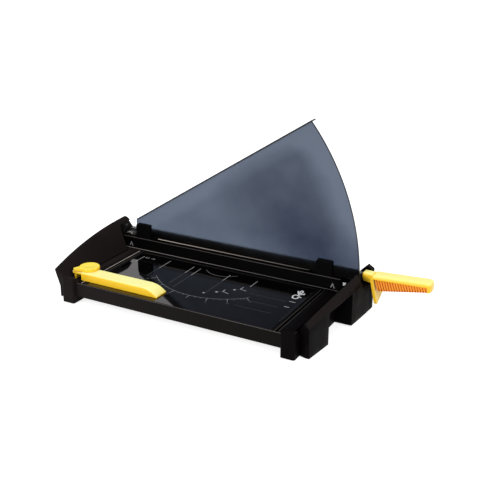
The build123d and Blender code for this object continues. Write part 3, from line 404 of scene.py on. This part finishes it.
finishes = {
    # The caps' finish: painted light, paler on the faces that look up and to the right, darkest on the
    # front faces
    "cap_plastic": painted_light_by_facing("cap_plastic", srgb(8, 6, 7), srgb(28, 24, 23), (0.6, 0, 0.8), (0.9, 1.03),
                            (0.46, 0.58), Specular_IOR_Level=0.02),
    # The left cap's finish: a lighter copy of the cap plastic, painted light where more light falls on the
    # left cap
    "left_cap_lit_copy": moulded("left_cap_lit_copy", srgb(29, 24, 24), srgb(35, 29, 29), (0.46, 0.58),
                                Specular_IOR_Level=0.02),
    # The apron's finish: painted light that falls off from left to right
    "apron_plastic": painted_light_falloff("apron_plastic", srgb(32, 28, 28), srgb(20, 17, 17), (0.46, 0.58),
                           Specular_IOR_Level=0.022),
    "bed_gloss": moulded("bed_gloss", srgb(2, 2, 3), srgb(4, 4, 5), (0.03, 0.05), grain=60,
                         depth=0.02, strength=0.05, Specular_IOR_Level=0.5,
                         Specular_Tint=(1.0, 0.9, 0.88, 1.0)),
    "dark_steel": moulded("dark_steel", srgb(34, 34, 36), srgb(44, 44, 47), (0.45, 0.6),
                          Metallic=0.5),
    "track_black": moulded("track_black", srgb(6, 6, 7), srgb(10, 10, 11), (0.4, 0.52),
                           Specular_IOR_Level=0.03),
    "clamp_black": moulded("clamp_black", srgb(2, 2, 2), srgb(5, 4, 4), (0.4, 0.52),
                           Specular_IOR_Level=0.012),
    "clip_plastic": moulded("clip_plastic", srgb(5, 5, 6), srgb(9, 9, 10), (0.42, 0.54),
                            Specular_IOR_Level=0.025),
    "cover_plastic": moulded("cover_plastic", srgb(7, 6, 7), srgb(11, 10, 11), (0.42, 0.55),
                             Specular_IOR_Level=0.03),
    # The guard's finish: painted reflections over the sheet, and painted shade along its foot
    "smoked_guard": smoked("smoked_guard", srgb(39, 47, 65), srgb(88, 97, 112), srgb(12, 14, 18),
                           (0.28, 0.36), Transmission_Weight=1.0, IOR=1.25),
    "rubber": moulded("rubber", srgb(18, 18, 19), srgb(26, 26, 27), (0.7, 0.85), grain=RUBBER_GRAIN,
                      Specular_IOR_Level=0.1),
    "grey_rubber": moulded("grey_rubber", srgb(96, 97, 98), srgb(116, 117, 118), (0.65, 0.8),
                           grain=RUBBER_GRAIN),
    # The yellow's finish: painted light, paler on the faces that look up
    "yellow_plastic": painted_light_by_facing("yellow_plastic", srgb(255, 205, 40), srgb(255, 251, 162),
                               (0.1, 0, 0.99), (0.55, 1.0), (0.34, 0.44), Specular_IOR_Level=0.4),
    # The handle's yellow: a copy with painted light, paler on the faces that look up and to the right
    "handle_plastic": painted_light_by_facing("handle_plastic", srgb(255, 204, 44), srgb(255, 245, 142),
                               (0.4, 0, 0.92), (0.3, 0.98), (0.34, 0.44), Specular_IOR_Level=0.4),
    # The knob's yellow: a copy with painted light, paler on the faces that look up
    "knob_plastic": painted_light_by_facing("knob_plastic", srgb(255, 203, 40), srgb(255, 232, 78),
                             (0, 0, 1), (0.3, 1.0), (0.34, 0.44), Specular_IOR_Level=0.4),
    # The grip's finish: painted shade on the rib faces that look sideways
    "orange_grip": ribbed("orange_grip", srgb(214, 76, 16), srgb(255, 162, 54), (0.5, 0.62),
                          Specular_IOR_Level=0.2),
    "bronze": brushed("bronze", srgb(150, 110, 60), srgb(190, 145, 85), (0.3, 0.45)),
    "bracket_steel": bracketed("bracket_steel", (srgb(136, 131, 128), srgb(166, 161, 158)),
                               (srgb(34, 30, 30), srgb(40, 36, 36)), (0.45, 0.6), Metallic=0.2,
                               Specular_IOR_Level=0.15),
    "blade_steel": brushed("blade_steel", srgb(150, 152, 156), srgb(190, 192, 196), (0.22, 0.36)),
    "arm_steel": brushed("arm_steel", srgb(72, 72, 74), srgb(98, 98, 100), (0.36, 0.5)),
    "screw_steel": brushed("screw_steel", srgb(150, 150, 152), srgb(196, 196, 198), (0.28, 0.42),
                           TURNED_LINES),
    "dark_screw": brushed("dark_screw", srgb(46, 46, 47), srgb(66, 66, 67), (0.4, 0.52), TURNED_LINES),
    "ink": moulded("ink", srgb(214, 215, 216), srgb(238, 239, 240), (0.4, 0.5), patch=INK_PATCH),
    "rule_ink": moulded("rule_ink", srgb(146, 146, 148), srgb(170, 170, 172), (0.4, 0.5), patch=INK_PATCH),
    "scale_ink": moulded("scale_ink", srgb(98, 98, 100), srgb(118, 118, 120), (0.4, 0.5), patch=INK_PATCH),
    "faint_ink": moulded("faint_ink", srgb(56, 56, 60), srgb(70, 70, 74), (0.4, 0.5), patch=INK_PATCH),
    # Finishes of the painted highlight beads: the first two fall off from left to right
    "ridge_highlight": painted_light_falloff("ridge_highlight", srgb(194, 182, 173), srgb(52, 48, 45), (0.34, 0.46),
                        Specular_IOR_Level=0.25),
    "edge_highlight": painted_light_falloff("edge_highlight", srgb(136, 130, 127), srgb(44, 41, 39), (0.3, 0.42),
                       Specular_IOR_Level=0.25),
    "soft_highlight": moulded("soft_highlight", srgb(54, 50, 48), srgb(72, 67, 65), (0.34, 0.46), patch=9,
                         Specular_IOR_Level=0.2),
}
# Nodes whose finish is not the one named after their slot: the left cap's is a lighter copy of the cap
# plastic, painted light; the knob's and the handle's are copies of the yellow with their own painted light
# on the faces that look up
OWN_FINISH = {"bracket_screws": "dark_screw", "left_end_cap": "left_cap_lit_copy",
              "stop_knob": "knob_plastic", "handle_shell": "handle_plastic"}

slot_of = {row["node"]: row["material_slot"] for row in frame["record"]["subparts"]}

# Width in mm of the eased edges of each moulding and plate, and how the edges are found
EASED = {
    "left_end_cap": 0.4, "right_end_cap": 0.4, "front_apron": 0.3, "clamp_bar": 0.25,
    "guard_clip_left": 0.25, "guard_clip_right": 0.25, "stop_bar": 0.3, "handle_shell": 0.35,
    "handle_grip": 0.25, "arm_bar": 0.3, "arm_cover": 0.3, "pivot_bracket": 0.3,
    "left_track": 0.2, "right_track": 0.2, "stop_knob": 0.3, "clip_plates": 0.2,
    "rear_beam": 0.3, "bed_plate": 0.15,
}
EASED_ANGLE = 40
EASED_SEGMENTS = 2
WELD_GAP = 0.01


def dress(node, obj):
    """A CAD node's material, and eased edges that catch the light."""
    obj.data.materials.clear()
    obj.data.materials.append(finishes[OWN_FINISH.get(node, slot_of[node])])
    if node in EASED:
        weld = obj.modifiers.new("weld", "WELD")
        weld.merge_threshold = WELD_GAP * MM
        bevel = obj.modifiers.new("bevel", "BEVEL")
        bevel.width = EASED[node] * MM
        bevel.segments = EASED_SEGMENTS
        bevel.limit_method = "ANGLE"
        bevel.angle_limit = math.radians(EASED_ANGLE)


for node, obj in nodes.items():
    dress(node, obj)


# Print and fine lines: thin closed solids

# How deep the print is sunk in its face and how far it stands proud, in mm
INK_SUNK = 0.02
INK_PROUD = 0.04
INK_LOW = BED_TOP - INK_SUNK
INK_HIGH = BED_TOP + INK_PROUD
# Half the thickness of the numerals in mm, and the steps in each stretch of their outline
NUMERAL_HALF = 0.03
NUMERAL_STEPS = 3
# The hole left in the middle of a printed dot, and the distance at which points are joined, in mm
PINHOLE = 0.05
JOIN_GAP = 0.001
# A stroke's corner reaches out by at most half its width over this
MITRE_LIMIT = 0.5
# Sides of a rounded line, and the length of its points in mm
BEAD_SIDES = 8
BEAD_POINT = 1.5
# Steps in a turn of a wound wire, sides of the wire, and the climb of its end turns in wire radii
COIL_STEPS = 24
COIL_SIDES = 8
END_CLIMB = 2.3


def toward(degrees):
    """A step of length 1 on the bed, at an angle from the right."""
    turn = math.radians(degrees)
    return Vector((math.cos(turn), math.sin(turn)))


class Marks:
    """Thin closed solids gathered into one mesh."""

    def __init__(self):
        self.mesh = bmesh.new()

    def join(self, a, b):
        """Faces between two rings of the same number of points."""
        for i in range(len(a)):
            j = (i + 1) % len(a)
            self.mesh.faces.new([a[i], a[j], b[j], b[i]])

    def skin(self, rings, closed):
        """Faces over a row of rings, with a face at each end unless the row closes on itself."""
        for a, b in zip(rings, rings[1:]):
            self.join(a, b)
        if closed:
            self.join(rings[-1], rings[0])
        else:
            self.mesh.faces.new(rings[0])
            self.mesh.faces.new(list(reversed(rings[-1])))

    def prism(self, outline, low, high):
        """outline: points (x, y) in mm, anticlockwise; low and high: heights in mm."""
        below = [self.mesh.verts.new(at(x, y, low)) for x, y in outline]
        above = [self.mesh.verts.new(at(x, y, high)) for x, y in outline]
        self.mesh.faces.new(above)
        self.mesh.faces.new(list(reversed(below)))
        self.join(below, above)

    def section(self, inner, outer, spot, low, high):
        """The four corners of a printed stroke between two points of a face."""
        corners = ((inner, low), (outer, low), (outer, high), (inner, high))
        return [self.mesh.verts.new(spot(p.x, p.y, z)) for p, z in corners]

    def line(self, a, b, width):
        """A printed line on the bed."""
        a, b = Vector(a), Vector(b)
        along = (b - a).normalized()
        side = Vector((-along.y, along.x)) * (width / 2)
        self.prism([a - side, b - side, b + side, a + side], INK_LOW, INK_HIGH)

    def arc(self, centre, radius, start, end, steps, width):
        """A printed arc on the bed, angles in degrees, anticlockwise; a full turn closes on itself."""
        closed = abs(end - start) >= 360
        rings = []
        for i in range(steps if closed else steps + 1):
            way = toward(start + (end - start) * i / steps)
            inner = Vector(centre) + way * (radius - width / 2)
            outer = Vector(centre) + way * (radius + width / 2)
            rings.append(self.section(inner, outer, at, INK_LOW, INK_HIGH))
        self.skin(rings, closed)

    def dot(self, centre, radius, steps):
        """A printed dot on the bed."""
        self.arc(centre, (radius + PINHOLE) / 2, 0, 360, steps, radius - PINHOLE)

    def path(self, points, width, closed, spot=at, low=INK_LOW, high=INK_HIGH):
        """A printed stroke through points on the bed or another face, mitred at its corners."""
        points = [Vector(point) for point in points]
        count = len(points)
        rings = []
        for i, point in enumerate(points):
            before = points[i - 1] if closed or i > 0 else point * 2 - points[i + 1]
            after = points[(i + 1) % count] if closed or i < count - 1 else point * 2 - points[i - 1]
            come, go = (point - before).normalized(), (after - point).normalized()
            along = (come + go).normalized()
            side = Vector((-along.y, along.x)) * (width / 2) / max(along.dot(go), MITRE_LIMIT)
            rings.append(self.section(point + side, point - side, spot, low, high))
        self.skin(rings, closed)

    def bead(self, start, end, radius):
        """A fine rounded line in space with pointed ends."""
        start, end = at(*start), at(*end)
        along = (end - start).normalized()
        side = along.orthogonal().normalized()
        other = along.cross(side)
        rings = []
        for middle in (start + along * BEAD_POINT * MM, end - along * BEAD_POINT * MM):
            ring = []
            for i in range(BEAD_SIDES):
                turn = 2 * math.pi * i / BEAD_SIDES
                way = side * math.cos(turn) + other * math.sin(turn)
                ring.append(self.mesh.verts.new(middle + way * radius * MM))
            rings.append(ring)
        self.join(rings[0], rings[1])
        for ring, tip in ((rings[0], start), (list(reversed(rings[1])), end)):
            tip = self.mesh.verts.new(tip)
            for i in range(BEAD_SIDES):
                self.mesh.faces.new([ring[i], ring[(i + 1) % BEAD_SIDES], tip])

    def coil(self, x, y, low, high, radius, wire, turns):
        """A round wire wound upwards between two heights in mm, with a close turn at each end."""
        close = END_CLIMB * wire
        pitch = (high - low - 2 * wire - 2 * close) / (turns - 2)
        rings = []
        for i in range(turns * COIL_STEPS + 1):
            turn = i / COIL_STEPS
            open_turns = min(max(turn - 1, 0), turns - 2)
            up = close * (turn - open_turns) + pitch * open_turns
            out = toward(360 * turn).to_3d()
            middle = at(x, y, low + wire + up) + out * radius * MM
            ring = []
            for k in range(COIL_SIDES):
                around = 2 * math.pi * k / COIL_SIDES
                way = out * math.cos(around) + Vector((0, 0, math.sin(around)))
                ring.append(self.mesh.verts.new(middle + way * wire * MM))
            rings.append(ring)
        self.skin(rings, False)

    def text(self, words, size, x, y):
        """Numerals or letters on the bed, standing just proud of it, centred on a place in mm."""
        curve = bpy.data.curves.new("words", "FONT")
        curve.body = words
        curve.size = size * MM
        curve.extrude = NUMERAL_HALF * MM
        curve.resolution_u = NUMERAL_STEPS
        curve.align_x = "CENTER"
        curve.align_y = "CENTER"
        holder = bpy.data.objects.new("words", curve)
        scene.collection.objects.link(holder)
        solid = holder.evaluated_get(bpy.context.evaluated_depsgraph_get())
        flat = bpy.data.meshes.new_from_object(solid)
        flat.transform(Matrix.Translation(at(x, y, BED_TOP)))
        self.mesh.from_mesh(flat)
        bpy.data.objects.remove(holder)
        bpy.data.curves.remove(curve)
        bpy.data.meshes.remove(flat)

    def done(self, name, body, finish):
        """The gathered solids as one piece that rides on a body."""
        bmesh.ops.remove_doubles(self.mesh, verts=self.mesh.verts, dist=JOIN_GAP * MM)
        bmesh.ops.recalc_face_normals(self.mesh, faces=self.mesh.faces)
        data = bpy.data.meshes.new(name)
        self.mesh.to_mesh(data)
        self.mesh.free()
        obj = bpy.data.objects.new(name, data)
        scene.collection.objects.link(obj)
        data.materials.append(finishes[finish])
        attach(obj, body)
        return obj


# Widths in mm of the printed lines
RULE_WIDTH = 1.0
FINE_WIDTH = 0.8
ARROW_WIDTH = 1.2
DASH_WIDTH = 1.7
EDGE_RULE_WIDTH = 0.7
GUIDE_WIDTH = 0.5
LOOP_WIDTH = 2.0
SCISSOR_WIDTH = 2.2

# Paper-size rules: x, front end, back end, and the front end of a fainter run where there is one
RULES = ((-140.5, 119, 143, None), (-93.5, 114, 146, 81), (-49.2, 117, 144, 74), (-36.2, 114, 142, 64),
         (15.4, 118, 142, 69), (61.5, 118, 141.5, None))
RUN_GAP = 0.5
rules = Marks()
faint = Marks()
for x, front, back, run in RULES:
    rules.line((x, front), (x, back), RULE_WIDTH)
    if run is not None:
        faint.line((x, run), (x, front - RUN_GAP), FINE_WIDTH)

# Angle scale with its ticks, and the short arc behind it: centre, radius, and first and last degree
SCALE_CENTRE = (0.0, 158.0)
SCALE_RADIUS = 107.0
SCALE_TURN = (221, 317)
SCALE_STEPS = 96
SCALE_TICKS = range(225, 316, 5)
LONG_TICK_EVERY = 15
TICK_GAP = 0.6
LONG_TICK = 9.5
SHORT_TICK = 3.2
RING_CENTRE = (-1.0, 166.0)
RING_RADIUS = 34.8
RING_TURN = (222, 322)
RING_STEPS = 48
dial = Marks()
dial.arc(RING_CENTRE, RING_RADIUS, *RING_TURN, RING_STEPS, FINE_WIDTH)
dial.arc(SCALE_CENTRE, SCALE_RADIUS, *SCALE_TURN, SCALE_STEPS, FINE_WIDTH)
for degrees in SCALE_TICKS:
    way = toward(degrees)
    start = Vector(SCALE_CENTRE) + way * (SCALE_RADIUS + TICK_GAP)
    if degrees % LONG_TICK_EVERY == 0:
        dial.line(start, start + way * LONG_TICK, RULE_WIDTH)
    else:
        faint.line(start, start + way * SHORT_TICK, FINE_WIDTH)
dial.done("bed_dial", "base", "scale_ink")

# Arrows beside the scale: a dot, a shaft to its tip and an open head
ARROWS = (((28.1, 79.8), (35.0, 85.0), (35.0, 92.5), (46.0, 82.0)),
          ((46.7, 98.6), (53.0, 104.0), (54.0, 112.5), (64.0, 102.5)))
ARROW_DOT_RADIUS = 2.15
ARROW_DOT_STEPS = 20
for dot, tip, left, right in ARROWS:
    rules.dot(dot, ARROW_DOT_RADIUS, ARROW_DOT_STEPS)
    faint.line(dot, tip, FINE_WIDTH)
    rules.line(tip, left, ARROW_WIDTH)
    rules.line(tip, right, ARROW_WIDTH)

# A dot at the end of a rule, two dashes below the scissors, and the name of a paper size with its width
RULE_DOT = (13.2, 68.4)
RULE_DOT_RADIUS = 1.75
RULE_DOT_STEPS = 16
DASHES = (((132.8, 101.0), (142.0, 101.0)), ((133.2, 82.6), (141.4, 82.6)))
PAPER_WORDS = (("A5", 7.0, -133.0, 139.5), ("148", 5.0, -122.5, 139.5))
rules.dot(RULE_DOT, RULE_DOT_RADIUS, RULE_DOT_STEPS)
for left, right in DASHES:
    rules.line(left, right, DASH_WIDTH)
for words, size, x, y in PAPER_WORDS:
    rules.text(words, size, x, y)
rules.done("bed_rules", "base", "rule_ink")

# Scissors sign: two finger loops and two crossing blades
SCISSOR_LOOPS = (
    ((131.0, 114.2), (129.1, 120.1), (130.5, 124.0), (134.3, 124.3), (137.4, 121.9), (138.5, 117.7),
     (137.4, 113.6), (134.3, 112.6)),
    ((134.8, 130.2), (132.5, 138.1), (133.3, 141.8), (135.8, 140.7), (136.8, 136.2), (136.6, 131.2)),
)
SCISSOR_BLADES = (
    ((128.9, 138.5), (133.5, 129.5), (138.3, 121.0), (142.2, 119.6)),
    ((135.6, 128.3), (138.3, 130.0), (140.8, 130.9), (140.8, 134.8)),
)
sign = Marks()
for loop in SCISSOR_LOOPS:
    sign.path(loop, LOOP_WIDTH, True)
for blade in SCISSOR_BLADES:
    sign.path(blade, SCISSOR_WIDTH, False)
sign.done("bed_sign", "base", "ink")

# Fine rule along the right edge, faint guide lines, and the numbers of the angle scale
EDGE_RULE = range(40, 150, 5)
EDGE_RULE_RIGHT = 149.7
EDGE_RULE_LONG = 147.2
EDGE_RULE_SHORT = 148.2
LONG_RULE_EVERY = 10
GUIDES = (98, 76, 54)
GUIDE_ENDS = (72, 128)
SCALE_NUMBERS = ((285, "15"), (300, "30"), (315, "45"), (255, "15"), (240, "30"), (225, "45"))
NUMBER_SIZE = 5.0
NUMBER_REACH = SCALE_RADIUS + 14.5
for y in EDGE_RULE:
    left = EDGE_RULE_LONG if y % LONG_RULE_EVERY == 0 else EDGE_RULE_SHORT
    faint.line((left, y), (EDGE_RULE_RIGHT, y), EDGE_RULE_WIDTH)
for y in GUIDES:
    faint.line((GUIDE_ENDS[0], y), (GUIDE_ENDS[1], y), GUIDE_WIDTH)
for degrees, words in SCALE_NUMBERS:
    place = Vector(SCALE_CENTRE) + toward(degrees) * NUMBER_REACH
    faint.text(words, NUMBER_SIZE, place.x, place.y)
faint.done("bed_fine_rules", "base", "faint_ink")


# Painted highlights as thin bright beads, and the springs


def painted_highlight_beads(name, body, finish, radius, runs):
    """One piece of painted highlights: fine rounded lines, each from one point of the drawing to another.
    """
    marks = Marks()
    for start, end in runs:
        marks.bead(start, end, radius)
    marks.done(name, body, finish)


# Painted highlights on the lips of the slotted tracks, and on the edge of the apron
LIP_RADIUS = 0.42
LIP_ENDS = (10.6, 159.5)
BRIGHT_LIP_HIGHLIGHTS = (-160.6,)
SOFT_LIP_HIGHLIGHTS = (-155.4, 155.4, 160.6)
APRON_HALF = 167.5
APRON_FRONT = 8.3
APRON_TOP = BED_TOP - 0.3
for name, finish, places in (("track_bright_lip_highlight", "ridge_highlight", BRIGHT_LIP_HIGHLIGHTS),
                             ("track_soft_lip_highlights", "soft_highlight", SOFT_LIP_HIGHLIGHTS)):
    runs = [[(x, y, BED_TOP) for y in LIP_ENDS] for x in places]
    painted_highlight_beads(name, "base", finish, LIP_RADIUS, runs)
painted_highlight_beads("apron_edge_highlight", "base", "soft_highlight", LIP_RADIUS,
     [[(x, APRON_FRONT, APRON_TOP) for x in (-APRON_HALF, APRON_HALF)]])

# Painted highlights along the clamp's edges, each with its ends in x, its place in y and z, and its radius
CLAMP_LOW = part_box("clamp_bar")[0].z / MM
CLAMP_FRONT = 160.5
CLAMP_ENDS = (-196.5, 182.5)
RIDGE_ENDS = (-132.0, 132.0)
CLAMP_HIGHLIGHTS = (
    ("clamp_ridge_highlight", "ridge_highlight", RIDGE_ENDS, 168.15, 54.3, 0.6),
    ("clamp_lower_highlight", "edge_highlight", CLAMP_ENDS, CLAMP_FRONT + 0.2, CLAMP_LOW + 0.3, 0.5),
    ("clamp_soft_highlight", "soft_highlight", CLAMP_ENDS, 164.6, 50.9, 0.5),
)
for name, finish, ends, y, z, radius in CLAMP_HIGHLIGHTS:
    painted_highlight_beads(name, "clamp", finish, radius, [[(x, y, z) for x in ends]])

# Return springs in the clamp, which shorten as it is pressed down; here they are wound at one length and
# stay on the base
COIL_RADIUS = 3.0
COIL_WIRE = 0.4
COIL_TURNS = 6
coil_low, coil_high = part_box("clamp_springs")
coil_y = CUT_Y + ((coil_low.y + coil_high.y) / 2 - CUT_LINE_Y) / MM
coil_x = (coil_high.x - MIDDLE_X) / MM - COIL_RADIUS - COIL_WIRE
coils = Marks()
for x in (-coil_x, coil_x):
    coils.coil(x, coil_y, coil_low.z / MM, coil_high.z / MM, COIL_RADIUS, COIL_WIRE, COIL_TURNS)
springs = coils.done("clamp_coils", "base", "screw_steel")
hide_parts("clamp_springs")
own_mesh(springs)

# Small pointers on the clamp's front face, which is upright at its foot and leans back above it
UPRIGHT_FOOT = 3
LEAN_FOOT = CLAMP_LOW + UPRIGHT_FOOT
LEAN_BACK = 3.5
LEAN_RISE = 13.1
LEAN = Vector((0, LEAN_BACK, LEAN_RISE)).normalized()
POINTER_PLACES = (-178.6, 171.6)
POINTER = ((-2.6, 0.8), (-0.3, 6.2), (3.0, 0.3))
POINTER_WIDTH = 1.5


def on_lean(x, up, proud):
    """A point on the clamp's leaning face, up along it and proud of it in mm."""
    foot = at(x, CLAMP_FRONT, LEAN_FOOT)
    return foot + (LEAN * up + Vector((0, -LEAN.z, LEAN.y)) * proud) * MM


figures = Marks()
for place in POINTER_PLACES:
    stroke = [(place + x, up) for x, up in POINTER]
    figures.path(stroke, POINTER_WIDTH, False, on_lean, -INK_SUNK, INK_PROUD)
figures.done("clamp_figures", "clamp", "scale_ink")

# Cutting mark on the right cap's shelf above the bed
MARKER = ((189.1, 157.2), (190.5, 158.4), (190.4, 164.2), (189.5, 167.7), (186.4, 168.1), (184.4, 168.8),
          (184.6, 167.2))
SHELF_RISE = 14
MARKER_FACE = BED_TOP + SHELF_RISE
MARKER_PROUD = 0.05
marker = Marks()
marker.prism(MARKER, MARKER_FACE - INK_SUNK, MARKER_FACE + MARKER_PROUD)
marker.done("cut_marker", "base", "ink")


# Floor, light and camera

# The floor's half width in metres, its drop under the feet in mm, and its looks
FLOOR_HALF = 8.0
FLOOR_DROP = 0.2
FLOOR_GLOW = 0.74
FLOOR_COLOUR = (0.74, 0.74, 0.74, 1)
WORLD_COLOUR = (1, 1, 1, 1)
AMBIENT = 0.44


def seen_rays(tree):
    """1 for rays from the camera, in reflections and through clear sheet, 0 for the rest."""
    path = tree.nodes.new("ShaderNodeLightPath")
    value = path.outputs["Is Camera Ray"]
    for name in ("Is Glossy Ray", "Is Transmission Ray"):
        node = tree.nodes.new("ShaderNodeMath")
        node.operation = "MAXIMUM"
        tree.links.new(value, node.inputs[0])
        tree.links.new(path.outputs[name], node.inputs[1])
        value = node.outputs[0]
    return value


def floor_paper():
    """Pale paper that takes shadows and glows to white where it is seen."""
    paper = bpy.data.materials.new("floor_paper")
    paper.use_nodes = True
    tree = paper.node_tree
    tree.nodes.clear()
    diffuse = tree.nodes.new("ShaderNodeBsdfDiffuse")
    diffuse.inputs["Color"].default_value = FLOOR_COLOUR
    glow = tree.nodes.new("ShaderNodeEmission")
    level = tree.nodes.new("ShaderNodeMath")
    level.operation = "MULTIPLY"
    level.inputs[1].default_value = FLOOR_GLOW
    tree.links.new(seen_rays(tree), level.inputs[0])
    tree.links.new(level.outputs[0], glow.inputs["Strength"])
    total = tree.nodes.new("ShaderNodeAddShader")
    tree.links.new(diffuse.outputs[0], total.inputs[0])
    tree.links.new(glow.outputs[0], total.inputs[1])
    tree.links.new(total.outputs[0], tree.nodes.new("ShaderNodeOutputMaterial").inputs["Surface"])
    return paper


def studio_world():
    """White where it is seen, dimmer as a light."""
    world = bpy.data.worlds.new("studio")
    world.use_nodes = True
    tree = world.node_tree
    tree.nodes.clear()
    back = tree.nodes.new("ShaderNodeBackground")
    back.inputs["Color"].default_value = WORLD_COLOUR
    strength = tree.nodes.new("ShaderNodeMapRange")
    strength.inputs["To Min"].default_value = AMBIENT
    strength.inputs["To Max"].default_value = 1.0
    tree.links.new(seen_rays(tree), strength.inputs["Value"])
    tree.links.new(strength.outputs["Result"], back.inputs["Strength"])
    tree.links.new(back.outputs[0], tree.nodes.new("ShaderNodeOutputWorld").inputs["Surface"])
    return world


corners = [(x * FLOOR_HALF, y * FLOOR_HALF, 0) for x, y in ((-1, -1), (1, -1), (1, 1), (-1, 1))]
floor_mesh = bpy.data.meshes.new("floor")
floor_mesh.from_pydata(corners, [], [(0, 1, 2, 3)])
floor_mesh.materials.append(floor_paper())
floor = bpy.data.objects.new("floor", floor_mesh)
floor.location.z = -FLOOR_DROP * MM
scene.collection.objects.link(floor)
scene.world = studio_world()

# Square lamps that look at the middle of the cutter: place and width in metres, power in watts
LOOK_AT = Vector((0, 0, 0.05))
SOFTBOXES = (("overhead", (0.1, 0.3, 2.3), 1.8, 18), ("key", (1.9, -0.5, 1.2), 1.2, 14),
             ("fill", (-0.3, -2.1, 0.9), 1.4, 26))
for name, place, width, power in SOFTBOXES:
    lamp = bpy.data.lights.new(name, "AREA")
    lamp.shape = "SQUARE"
    lamp.size = width
    lamp.energy = power
    softbox = bpy.data.objects.new(name, lamp)
    softbox.location = place
    softbox.rotation_euler = (LOOK_AT - Vector(place)).to_track_quat("-Z", "Y").to_euler()
    scene.collection.objects.link(softbox)

# The photograph's view, found from its straight edges
EYE = (593.1, -874.1, 529.4)
AZIMUTH = math.radians(28.923)
ELEVATION = math.radians(20.681)
SENSOR_WIDTH = 36
FOCAL_LENGTH = 63.75
CLIP_START = 0.01
lens = bpy.data.cameras.new("camera")
lens.sensor_width = SENSOR_WIDTH
lens.lens = FOCAL_LENGTH
lens.clip_start = CLIP_START
camera = bpy.data.objects.new("camera", lens)
camera.location = at(*EYE)
away = Vector((
    math.sin(AZIMUTH) * math.cos(ELEVATION),
    -math.cos(AZIMUTH) * math.cos(ELEVATION),
    math.sin(ELEVATION),
))
camera.rotation_euler = (-away).to_track_quat("-Z", "Y").to_euler()
scene.collection.objects.link(camera)
scene.camera = camera
scene.view_settings.view_transform = "Standard"
